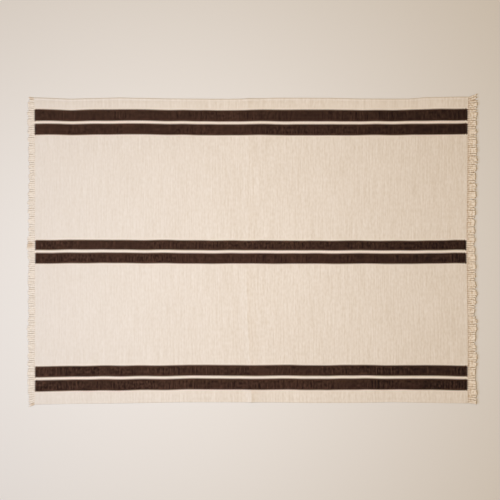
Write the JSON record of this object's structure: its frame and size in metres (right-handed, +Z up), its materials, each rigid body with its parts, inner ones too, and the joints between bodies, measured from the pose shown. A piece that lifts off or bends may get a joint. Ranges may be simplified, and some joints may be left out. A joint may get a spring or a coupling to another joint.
{
  "type": "flatweave rug",
  "caption": "Rectangular flat-woven cream rug with pairs of dark brown stripes along its length and a short fringe at both ends.",
  "frame": {"origin": "middle of the whole rug's box, fringes included, on the floor", "axes": "+X along the warp and the stripes, towards the picture's right; +Y across the rug, towards the picture's top; +Z up from the floor"},
  "size_m": [2.0704, 1.4428, 0.0098],
  "materials": {
    "woven_wool": "matt weft-faced wool weave, cream with dark brown stripes",
    "fringe_cotton": "matt undyed cotton warp ends, knotted and loosely twisted"
  },
  "bodies": {
    "root": {"woven_field": "woven_wool", "fringe_left": "fringe_cotton", "fringe_right": "fringe_cotton"}
  },
  "joints": []
}
